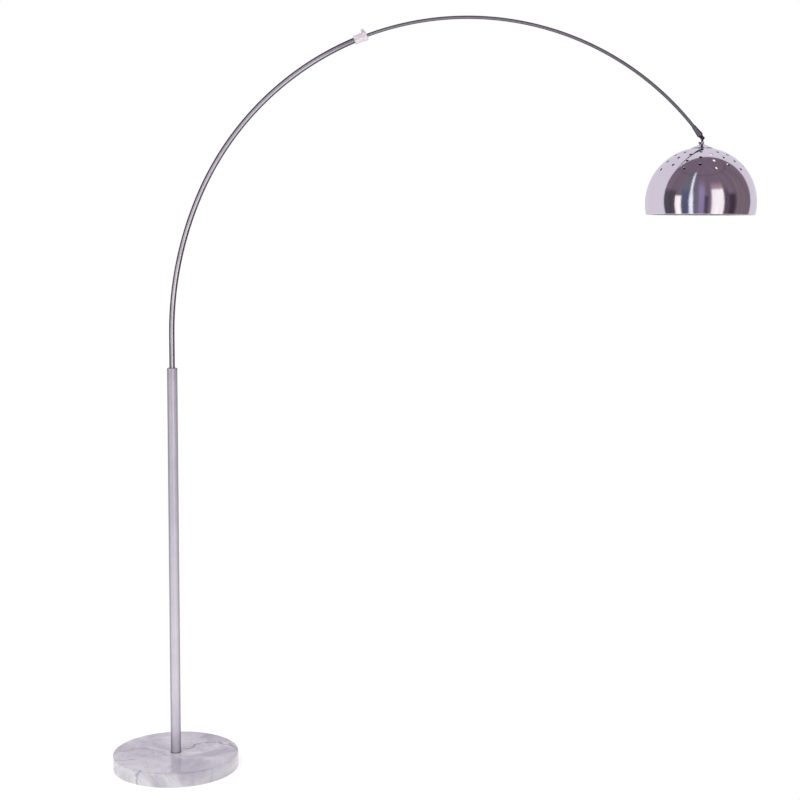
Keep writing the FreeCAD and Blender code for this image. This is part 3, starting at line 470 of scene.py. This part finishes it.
FINISHES = {
    "marble": marble(),
    "felt": felt(),
    "steel": STEEL,
    "rubber": moulded("rubber", (0.02, 0.02, 0.02), 0.7),
    "pole_metal": POLE_METAL,
    "arm_metal": ARM_METAL,
    "collar_metal": COLLAR_METAL,
    "nylon": moulded("nylon", (0.78, 0.76, 0.70), 0.45),
    "black_steel": BLACK_STEEL,
    "shade_metal": SHADE_METAL,
    "brass": BRASS,
    "fibre": moulded("fibre", (0.32, 0.10, 0.05), 0.6),
    "holder_plastic": moulded("holder_black", (0.02, 0.02, 0.02), 0.3),
    "porcelain": moulded("porcelain", (0.86, 0.85, 0.81), 0.2, grain=200.0, bump=0.00003, tone=0.94),
    "bulb_glass": frosted_glass(),
    "cap_metal": CAP_METAL,
    "cord_sheath": moulded("cord_sheath", (0.80, 0.79, 0.78), 0.45),
}

for row in frame["record"]["subparts"]:
    for holder in NODES[row["node"]].material_slots:
        holder.material = FINISHES[row["material_slot"]]


# ---------------------------------------------------------------- pole

POLE_BORE = 12.5 * MM
POLE_OUTSIDE = 14 * MM
POLE_RING = 0.05

pole_outline = rounded([(POLE_BORE, POLE_FOOT), (POLE_OUTSIDE, POLE_FOOT), (POLE_OUTSIDE, POLE_TOP),
                        (POLE_BORE, POLE_TOP)], 0.4 * MM)
turned("pole_tube", finer(pole_outline, POLE_RING), frame_at((0, 0, 0), UPRIGHT), "base",
       POLE_METAL, ["pole"])


# ---------------------------------------------------------------- arm tubes

# the thin tube ends this far short of the arc's end, inside the ferrule
TIP_GAP = 1.4 * MM

bent_tube("lower_arm", 0.0, arm_length(COLLAR_TURN), 7.5 * MM, 6.3 * MM, "lower_arm", ARM_METAL,
          ["lower_arm_tube"])
bent_tube("upper_arm", arm_length(UPPER_START_TURN), arm_length(TIP_TURN) - TIP_GAP, 4.5 * MM,
          3.6 * MM, "upper_arm", ARM_METAL, ["upper_arm_tube"])


# ---------------------------------------------------------------- collar and its screw

# outlines are corners of (radius, height) in millimetres, then the radius of their rounding
collar_outline = profile([
    (7.85, -18), (10.6, -18), (11.5, -17), (11.5, 5.4), (11.1, 5.7), (11.1, 6.2), (12.5, 6.5),
    (12.5, 17), (11.6, 18), (7.15, 18), (7.15, 0.1), (7.85, 0.1)], 0.35)
turned("collar", collar_outline, frame_at(on_arc(COLLAR_TURN), along_arc(COLLAR_TURN)), "lower_arm",
       COLLAR_METAL, ["collar_body"])


# a knurl cuts only the head, which is wider than this
KNURL_FROM = 3.2 * MM


def knurl(count, depth, low, high):
    """A knurl: between two heights the head's radius dips by a depth in metres, count times round.

    The radius is multiplied by 1 - depth / radius (1 + cos(count a)) / 2.
    """
    def swell(angle, radius, height):
        on = ((height > low) & (height < high) & (radius > KNURL_FROM)).astype(float)
        return 1 - on * depth / np.maximum(radius, MM) * (0.5 + 0.5 * np.cos(count * angle))
    return swell


# dips round a screw's head, their depth, the longest run of outline between two rings, and the
# points of a ring
KNURLS = 24
KNURL_DEPTH = 0.3 * MM
SCREW_RING = 0.8 * MM
FINE_SIDES = 96
# the collar's screw stands this far along the collar from its middle
SCREW_ALONG = 11 * MM

screw_outline = profile([
    (0.02, 6.5), (2, 6.5), (2, 12.8), (4, 12.8), (4, 19.8), (3.1, 19.8), (2.7, 19.3), (0.02, 19.3)],
    0.5)
turned("collar_knob", finer(screw_outline, SCREW_RING),
       frame_at(on_arc(COLLAR_TURN, SCREW_ALONG), out_of_arc(COLLAR_TURN)), "collar_screw",
       COLLAR_METAL, ["collar_thumb_screw"], FINE_SIDES,
       knurl(KNURLS, KNURL_DEPTH, 13.4 * MM, 19.2 * MM))


# ---------------------------------------------------------------- arm's end and tilt screw

FERRULE_HALF = 16.5
FERRULE_TURN = TIP_TURN - FERRULE_HALF * MM / ARC_RADIUS

ferrule_outline = profile([
    (4.75, -FERRULE_HALF), (5.4, -FERRULE_HALF), (6.3, -6), (7.4, 5), (8.2, 12), (8.1, 14.6),
    (6.6, FERRULE_HALF), (4.75, FERRULE_HALF)], 1.2)
turned("ferrule", ferrule_outline, frame_at(on_arc(FERRULE_TURN), along_arc(FERRULE_TURN)),
       "upper_arm", ARM_METAL, ["tip_ferrule"])

tilt_outline = profile([
    (0.02, -5.6), (1.4, -5.6), (1.8, -5.1), (1.8, 4.4), (4.5, 4.4), (4.5, 9.4), (3.4, 9.4),
    (3.0, 8.9), (0.02, 8.9)], 0.5)
turned("tilt_knob", finer(tilt_outline, SCREW_RING), frame_at(PIN, (0, -1, 0), UPRIGHT),
       "tilt_screw", BLACK_STEEL, ["tilt_thumb_screw"], FINE_SIDES,
       knurl(KNURLS, KNURL_DEPTH, 5.0 * MM, 8.8 * MM))


# ---------------------------------------------------------------- dome

# the outer and inner sheets' radii, and how far the sphere's middle hangs under the tilt pin
DOME_OUT = 0.150
DOME_IN = 0.1491
DOME_DROP = 174.5 * MM
DOME_MIDDLE = Vector((PIN.x, 0, PIN.z - DOME_DROP))
# the rolled rim's radius, its drop under the sphere's middle, and the bore in the crown
BEAD = 1.3 * MM
RIM_DROP = 0.031
BORE = 5.2 * MM
# the vents' radius, their rows, the count in each row, the first row's turn from upright, the step
# to the next row, and the first vent's turn round the axis
VENT_RADIUS = 4.3 * MM
VENT_ROWS = 6
VENTS_ROUND = 9
FIRST_VENT_TURN = math.radians(26.4)
VENT_STEP = math.radians(5.5)
FIRST_VENT_AZIMUTH = math.radians(-104.6)
# points round the axis
ROUND_STEPS = 180
# rows of the plain bands over and under the vents, and the steps of one vent's patch
CROWN_ROWS = 16
SKIRT_ROWS = 40
PATCH_RINGS = 6
PATCH_STEPS_UP = 8
PATCH_EASE = 1.4
# the rolled rim's steps and sweep, and where the inner sheet meets it
BEAD_STEPS = 26
BEAD_SWEEP = 300
INNER_MEETS_BEAD = math.radians(360 - BEAD_SWEEP)


def on_sphere(polar, azimuth):
    """Unit vectors at a turn from straight up and a turn round the upright axis."""
    return np.stack([np.sin(polar) * np.cos(azimuth), np.sin(polar) * np.sin(azimuth),
                     np.cos(polar) * np.ones_like(azimuth)], -1)


def vent_patch(polar, azimuth, steps_round, steps_up):
    """A patch of unit sphere with one round hole.

    Its outer edge is a cell in polar turn and azimuth, and its inner edge the vent's circle. The
    two parameters are the place round the edge and the share of the way out from the circle.
    """
    wide = math.pi / VENTS_ROUND
    tall = VENT_STEP / 2
    along = np.linspace(-1, 1, steps_round, endpoint=False)
    up = np.linspace(-1, 1, steps_up, endpoint=False)
    one_round, one_up = np.ones(steps_round), np.ones(steps_up)
    across = np.concatenate([along, one_up, -along, -one_up])
    down = np.concatenate([-one_round, up, one_round, -up])
    edge = on_sphere(polar + down * tall, azimuth + across * wide)
    angle = np.arctan2(down, across)
    middle_way = on_sphere(np.array(polar), np.array(azimuth))
    east = np.array([-math.sin(azimuth), math.cos(azimuth), 0])
    south = np.cross(east, middle_way)
    south = south if south[2] < 0 else -south
    hole = VENT_RADIUS / DOME_OUT
    circle = (math.sqrt(1 - hole ** 2) * middle_way
              + hole * (np.cos(angle)[:, None] * east + np.sin(angle)[:, None] * south))
    share = (np.linspace(0, 1, PATCH_RINGS) ** PATCH_EASE)[:, None, None]
    points = circle[None] * (1 - share) + edge[None] * share
    return points / np.linalg.norm(points, axis=2, keepdims=True)


def grid_faces(start, rows, columns):
    """Quads of a grid that closes round each row; its points are numbered row by row from a start."""
    index = start + np.arange(rows * columns).reshape(rows, columns)
    here, ahead = index[:-1], index[1:]
    return np.stack([here, ahead, np.roll(ahead, -1, 1), np.roll(here, -1, 1)], -1).reshape(-1, 4)


def make_dome():
    """The perforated dome, as sheets that meet edge to edge.

    A point of the outer or inner sheet is radius (sin p cos a, sin p sin a, cos p), for a polar turn
    p and a turn a round the axis. Vent patches fill the perforated band, and plain bands lie over
    and under it. The rim is a small circle carried round the axis. Each sheet comes with the way
    that it faces, and a quad that faces the other way is turned over.
    """
    points, quads, normals, inside = [], [], [], []
    count = 0

    def add(places, facing, is_inside=False):
        nonlocal count
        rows, columns = places.shape[:2]
        faces = grid_faces(count, rows, columns)
        points.append(places.reshape(-1, 3))
        normals.append(facing.reshape(-1, 3))
        quads.append(faces)
        inside.append(np.full(len(faces), is_inside))
        count += rows * columns

    azimuth = (FIRST_VENT_AZIMUTH + np.linspace(0, TURN, ROUND_STEPS, endpoint=False))[None, :]
    band_top = FIRST_VENT_TURN - VENT_STEP / 2
    band_foot = FIRST_VENT_TURN + (VENT_ROWS - 0.5) * VENT_STEP
    for radius, sign in ((DOME_OUT, 1), (DOME_IN, -1)):
        bore_polar = math.asin(BORE / radius)
        foot = -RIM_DROP if sign > 0 else -RIM_DROP + BEAD * math.sin(INNER_MEETS_BEAD)
        rim_polar = math.acos(foot / radius)
        for low, high, rows in ((bore_polar, band_top, CROWN_ROWS),
                                (band_foot, rim_polar, SKIRT_ROWS)):
            way = on_sphere(np.linspace(low, high, rows)[:, None], azimuth)
            add(radius * way, sign * way, sign < 0)
    for row in range(VENT_ROWS):
        for vent in range(VENTS_ROUND):
            polar = FIRST_VENT_TURN + row * VENT_STEP
            around = FIRST_VENT_AZIMUTH + (vent + 0.5 * (row % 2)) * TURN / VENTS_ROUND
            way = vent_patch(polar, around, ROUND_STEPS // VENTS_ROUND, PATCH_STEPS_UP)
            add(DOME_OUT * way, way)
            add(DOME_IN * way, -way, True)
            facing = way[0].mean(0) - way[0]
            facing -= (facing * way[0]).sum(1, keepdims=True) * way[0]
            add(np.stack([DOME_OUT * way[0], DOME_IN * way[0]]), np.stack([facing, facing]))
    bead_ring = math.sqrt(DOME_OUT ** 2 - RIM_DROP ** 2) - BEAD
    bead = np.radians(np.linspace(0, -BEAD_SWEEP, BEAD_STEPS))[:, None]
    reach = bead_ring + BEAD * np.cos(bead)
    rim = np.stack([reach * np.cos(azimuth), reach * np.sin(azimuth),
                    (-RIM_DROP + BEAD * np.sin(bead)) * np.ones_like(azimuth)], -1)
    add(rim, np.stack([np.cos(bead) * np.cos(azimuth), np.cos(bead) * np.sin(azimuth),
                       np.sin(bead) * np.ones_like(azimuth)], -1))
    bore = np.stack([radius * on_sphere(np.array([[math.asin(BORE / radius)]]), azimuth)[0]
                     for radius in (DOME_IN, DOME_OUT)])
    inward = -np.stack([np.cos(azimuth[0]), np.sin(azimuth[0]), 0 * azimuth[0]], -1)
    add(bore, np.stack([inward, inward]))

    places = np.concatenate(points) + np.array(DOME_MIDDLE)
    faces = np.concatenate(quads)
    facing = np.concatenate(normals)
    facing /= np.linalg.norm(facing, axis=1, keepdims=True)
    corners = places[faces]
    crosses = np.cross(corners[:, 2] - corners[:, 0], corners[:, 3] - corners[:, 1])
    wrong = (crosses * facing[faces].mean(1)).sum(1) < 0
    faces[wrong] = faces[wrong][:, ::-1]
    return places, faces, facing, np.concatenate(inside)


# points nearer than this are one
WELD = 1e-6


def weld(places, faces, facing):
    """Join points that share a place: returns the points, the faces and each face corner's normal."""
    keys = np.round(places / WELD).astype(np.int64)
    _, first, back = np.unique(keys, axis=0, return_index=True, return_inverse=True)
    return places[first], back.reshape(-1)[faces], facing[faces]


dome_places, dome_faces, dome_facing, dome_inside = make_dome()
dome_points, dome_quads, corner_normals = weld(dome_places, dome_faces, dome_facing)
dome_mesh = bpy.data.meshes.new("dome")
dome_mesh.from_pydata(dome_points, [], dome_quads)
finish_piece(dome_mesh, "dome", "shade", SHADE_METAL, ["shade_dome"])
dome_mesh.materials.append(INSIDE_METAL)
dome_mesh.polygons.foreach_set("material_index", dome_inside.astype(np.int32))
dome_mesh.normals_split_custom_set(corner_normals.reshape(-1, 3).tolist())


# ---------------------------------------------------------------- cap over the knuckle

CAP_REACH = 30
# height of the dome at the cap's edge, in millimetres from the tilt pin
CAP_RIM = (DOME_MIDDLE.z - PIN.z + math.sqrt(DOME_OUT ** 2 - (CAP_REACH * MM) ** 2)) / MM

cap_outline = profile([
    (3.08, -9.5), (4.9, -9.5), (5.5, -10.1), (5.5, -15.1), (17, -20.9), (CAP_REACH, CAP_RIM + 1.35),
    (CAP_REACH, CAP_RIM + 0.35), (29, CAP_RIM + 0.35), (16.6, -21.8), (5.5, -16.1), (3.08, -16.1)],
    0.8)
turned("cap", finer(cap_outline, 4 * MM), frame_at(PIN, UPRIGHT), "shade",
       SHADE_METAL, ["shade_cap"], FINE_SIDES)


# ---------------------------------------------------------------- floor, light and camera

FLOOR_STEPS = 96
FLOOR_RADIUS = 3.4
FLOOR_X, FLOOR_Y = 0.7, 0.2
# the paper's fade: its middle is close to the slab's, and it starts and ends at these distances
FADE_SHIFT = (-0.08, -0.02, 0)
FADE = (0.22, 0.75)


def make_floor():
    """A pale round floor: matt paper at the slab that fades to a plain white farther out."""
    angle = np.linspace(0, TURN, FLOOR_STEPS, endpoint=False)
    mesh = bpy.data.meshes.new("floor")
    ring = np.stack([FLOOR_X + FLOOR_RADIUS * np.cos(angle), FLOOR_Y + FLOOR_RADIUS * np.sin(angle),
                     0 * angle], -1)
    mesh.from_pydata(ring, [], [list(range(FLOOR_STEPS))])
    floor = bpy.data.objects.new("floor", mesh)
    bpy.context.scene.collection.objects.link(floor)
    finish = Finish("floor_paper", Roughness=0.9, Specular_IOR_Level=0.0)
    apart = finish.node("VectorMath", {0: finish.at(place=FADE_SHIFT)}, operation="LENGTH")
    glow = finish.spread(apart.outputs["Value"], *FADE, 0.72, 1.0)
    shade = finish.spread(apart.outputs["Value"], *FADE, 0.45, 0.0)
    finish.colour(finish.blend(shade, (0, 0, 0), (1, 1, 1)))
    finish.surface.inputs["Emission Color"].default_value = (1, 1, 1, 1)
    finish.feed(finish.surface.inputs["Emission Strength"], glow)
    mesh.materials.append(finish.material)


DEGREES = 180 / math.pi
ROOM_TONE = (0.190, 0.140, 0.185)
# streaks of light and dark in the room: how often they come over azimuth, how much they are drawn
# out over elevation, and the darkest and lightest
STREAKS = 0.16
STREAK_SQUASH = 0.06
STREAK_RANGE = (0.78, 1.22)
# elevation of a thin darker line round the room, its half widths and its tone
CORNICE = 57.0
CORNICE_EDGE = (0.6, 2.4)
CORNICE_TONE = 0.82


def make_studio():
    """Soft studio light from all round, as a pattern of directions.

    White lies behind and over the lamp. In front is the dim room, with tall soft lights in it: each
    is a band of azimuth, counted from straight in front towards +X, below a top elevation.
    """
    world = bpy.data.worlds.new("studio")
    bpy.context.scene.world = world
    world.use_nodes = True
    tree = world.node_tree
    tree.nodes.clear()

    def add(kind, inputs, output=0, **settings):
        made = tree.nodes.new("ShaderNode" + kind)
        for name, value in settings.items():
            setattr(made, name, value)
        for socket, value in inputs.items():
            if isinstance(value, bpy.types.NodeSocket):
                tree.links.new(value, made.inputs[socket])
            else:
                made.inputs[socket].default_value = value
        return made.outputs[output]

    def step(value, low, high):
        return add("MapRange", {"Value": value, "From Min": low, "From Max": high},
                   interpolation_type="SMOOTHSTEP")

    def times(first, second):
        return add("Math", {0: first, 1: second}, operation="MULTIPLY")

    def mixed(share, first, second):
        made = tree.nodes.new("ShaderNodeMix")
        made.data_type = "RGBA"
        for socket, value in (("Factor", share), ("A", first), ("B", second)):
            kind = "VALUE" if socket == "Factor" else "RGBA"
            target = [s for s in made.inputs if s.name == socket and s.type == kind][0]
            if isinstance(value, bpy.types.NodeSocket):
                tree.links.new(value, target)
            else:
                target.default_value = value if kind == "VALUE" else (*value, 1)
        return [s for s in made.outputs if s.type == "RGBA"][0]

    direction = add("TexCoord", {}, "Generated")
    apart = tree.nodes.new("ShaderNodeSeparateXYZ")
    tree.links.new(direction, apart.inputs[0])
    x, y, z = apart.outputs
    azimuth = times(add("Math", {0: x, 1: times(y, -1.0)}, operation="ARCTAN2"), DEGREES)
    elevation = times(add("Math", {0: z}, operation="ARCSINE"), DEGREES)

    def band(low, high, edge, top, fade):
        sides = times(step(azimuth, low - edge, low + edge), step(azimuth, high + edge, high - edge))
        return times(sides, step(elevation, top + fade, top - fade))

    colour = ROOM_TONE
    for low, high, edge, top, fade, tint in ROOM:
        colour = mixed(band(low, high, edge, top, fade), colour, tint)
    lean = Vector(ROOM_MIDDLE).normalized()
    facing = add("VectorMath", {0: direction, 1: tuple(lean)}, "Value", operation="DOT_PRODUCT")
    behind = step(facing, ROOM_EDGE[1], ROOM_EDGE[0])
    place = add("CombineXYZ", {0: azimuth, 1: times(elevation, STREAK_SQUASH)}, "Vector")
    streaks = add("TexNoise", {"Vector": place, "Scale": STREAKS, "Detail": 5.0, "Roughness": 0.65},
                  "Fac")
    level = add("MapRange", {"Value": streaks, "From Min": 0.3, "From Max": 0.7,
                             "To Min": STREAK_RANGE[0], "To Max": STREAK_RANGE[1]})
    above = add("Math", {0: elevation, 1: CORNICE}, operation="SUBTRACT")
    cornice = add("Math", {0: above}, operation="ABSOLUTE")
    level = times(level, add("MapRange", {"Value": cornice, "From Min": CORNICE_EDGE[0],
                                          "From Max": CORNICE_EDGE[1], "To Min": CORNICE_TONE,
                                          "To Max": 1.0}))
    colour = add("VectorMath", {0: colour, "Scale": level}, "Vector", operation="SCALE")
    light = mixed(behind, colour, BACKDROP)
    seen = add("LightPath", {}, "Is Camera Ray")
    light = mixed(seen, light, (1.0, 1.0, 1.0))
    background = tree.nodes.new("ShaderNodeBackground")
    tree.links.new(light, background.inputs["Color"])
    output = tree.nodes.new("ShaderNodeOutputWorld")
    tree.links.new(background.outputs[0], output.inputs[0])


def heading(azimuth, elevation):
    """A direction from its azimuth, counted from straight in front towards +X, and its elevation."""
    azimuth, elevation = math.radians(azimuth), math.radians(elevation)
    return (math.sin(azimuth) * math.cos(elevation), -math.cos(azimuth) * math.cos(elevation),
            math.sin(elevation))


BACKDROP = (0.72, 0.68, 0.76)
# the room fills the directions round its middle, out to where the cosine falls through its edge
ROOM_MIDDLE = heading(8, 5)
ROOM_EDGE = (-0.215, -0.185)
ROOM = (
    # low and high azimuth, edge softness, top elevation, top softness, colour
    (-94, -67, 5, 22, 5, (0.085, 0.075, 0.095)),
    (-53, -37, 4, 40, 12, (0.10, 0.11, 0.19)),
    (-27, -16, 3, 44, 14, (0.20, 0.16, 0.25)),
    (-16, -5, 3, 36, 14, (0.30, 0.25, 0.42)),
    (-5, 3, 2, 13, 3, (0.085, 0.065, 0.11)),
    (36, 48, 3, 24, 10, (0.12, 0.08, 0.11)),
    (48, 66, 3, 16, 4, (0.055, 0.04, 0.06)),
    (66, 106, 8, 40, 12, (0.20, 0.15, 0.18)),
    (-58, -22, 6, 64, 8, (0.16, 0.15, 0.18)),
    (-53, -37, 4, 24, 8, (0.10, 0.11, 0.19)),
    (10, 36, 4, 36, 8, (0.45, 0.30, 0.36)),
    (-67, -53.5, 1.2, 13, 1.5, (1.15, 1.08, 1.02)),
    (-36.5, -28.5, 1.2, 16, 12, (1.15, 1.15, 1.25)),
    (-35, -30.5, 1.0, 62, 5, (1.0, 1.05, 1.2)),
    (10.5, 36, 1.2, 26, 3, (1.12, 1.08, 1.06)),
)


def area_light(name, place, towards, size, power):
    """A soft rectangular lamp that points at a place, and that polished metal does not mirror."""
    data = bpy.data.lights.new(name, "AREA")
    data.shape = "RECTANGLE"
    data.size, data.size_y = size
    data.energy = power
    lamp = bpy.data.objects.new(name, data)
    lamp.location = place
    lamp.rotation_euler = (Vector(towards) - Vector(place)).to_track_quat("-Z", "Y").to_euler()
    lamp.visible_glossy = False
    bpy.context.scene.collection.objects.link(lamp)


make_floor()
make_studio()
area_light("soft_overhead", place=(-0.8, -1.6, 3.2), towards=(0.2, 0.0, 0.4), size=(2.2, 1.6),
           power=60)
area_light("soft_side", place=(3.6, -1.2, 1.6), towards=(1.2, 0.0, 1.2), size=(1.6, 2.0),
           power=18)

# millimetres of lens and sensor; metres; degrees to the left, down from level, and of tilt
LENS = 67.5
SENSOR = 36.0
CAMERA_PLACE = (0.513, -4.1055, 1.4901)
CAMERA_LEFT = -1.555
CAMERA_DOWN = 6.259
CAMERA_TILT = 0.377

camera_data = bpy.data.cameras.new("camera")
camera_data.lens = LENS
camera_data.sensor_width = SENSOR
camera = bpy.data.objects.new("camera", camera_data)
camera.matrix_world = (Matrix.Translation(CAMERA_PLACE)
                       @ Matrix.Rotation(math.radians(CAMERA_LEFT), 4, "Z")
                       @ Matrix.Rotation(math.radians(90 - CAMERA_DOWN), 4, "X")
                       @ Matrix.Rotation(math.radians(CAMERA_TILT), 4, "Z"))
bpy.context.scene.collection.objects.link(camera)
bpy.context.scene.camera = camera
bpy.context.scene.view_settings.view_transform = "Standard"
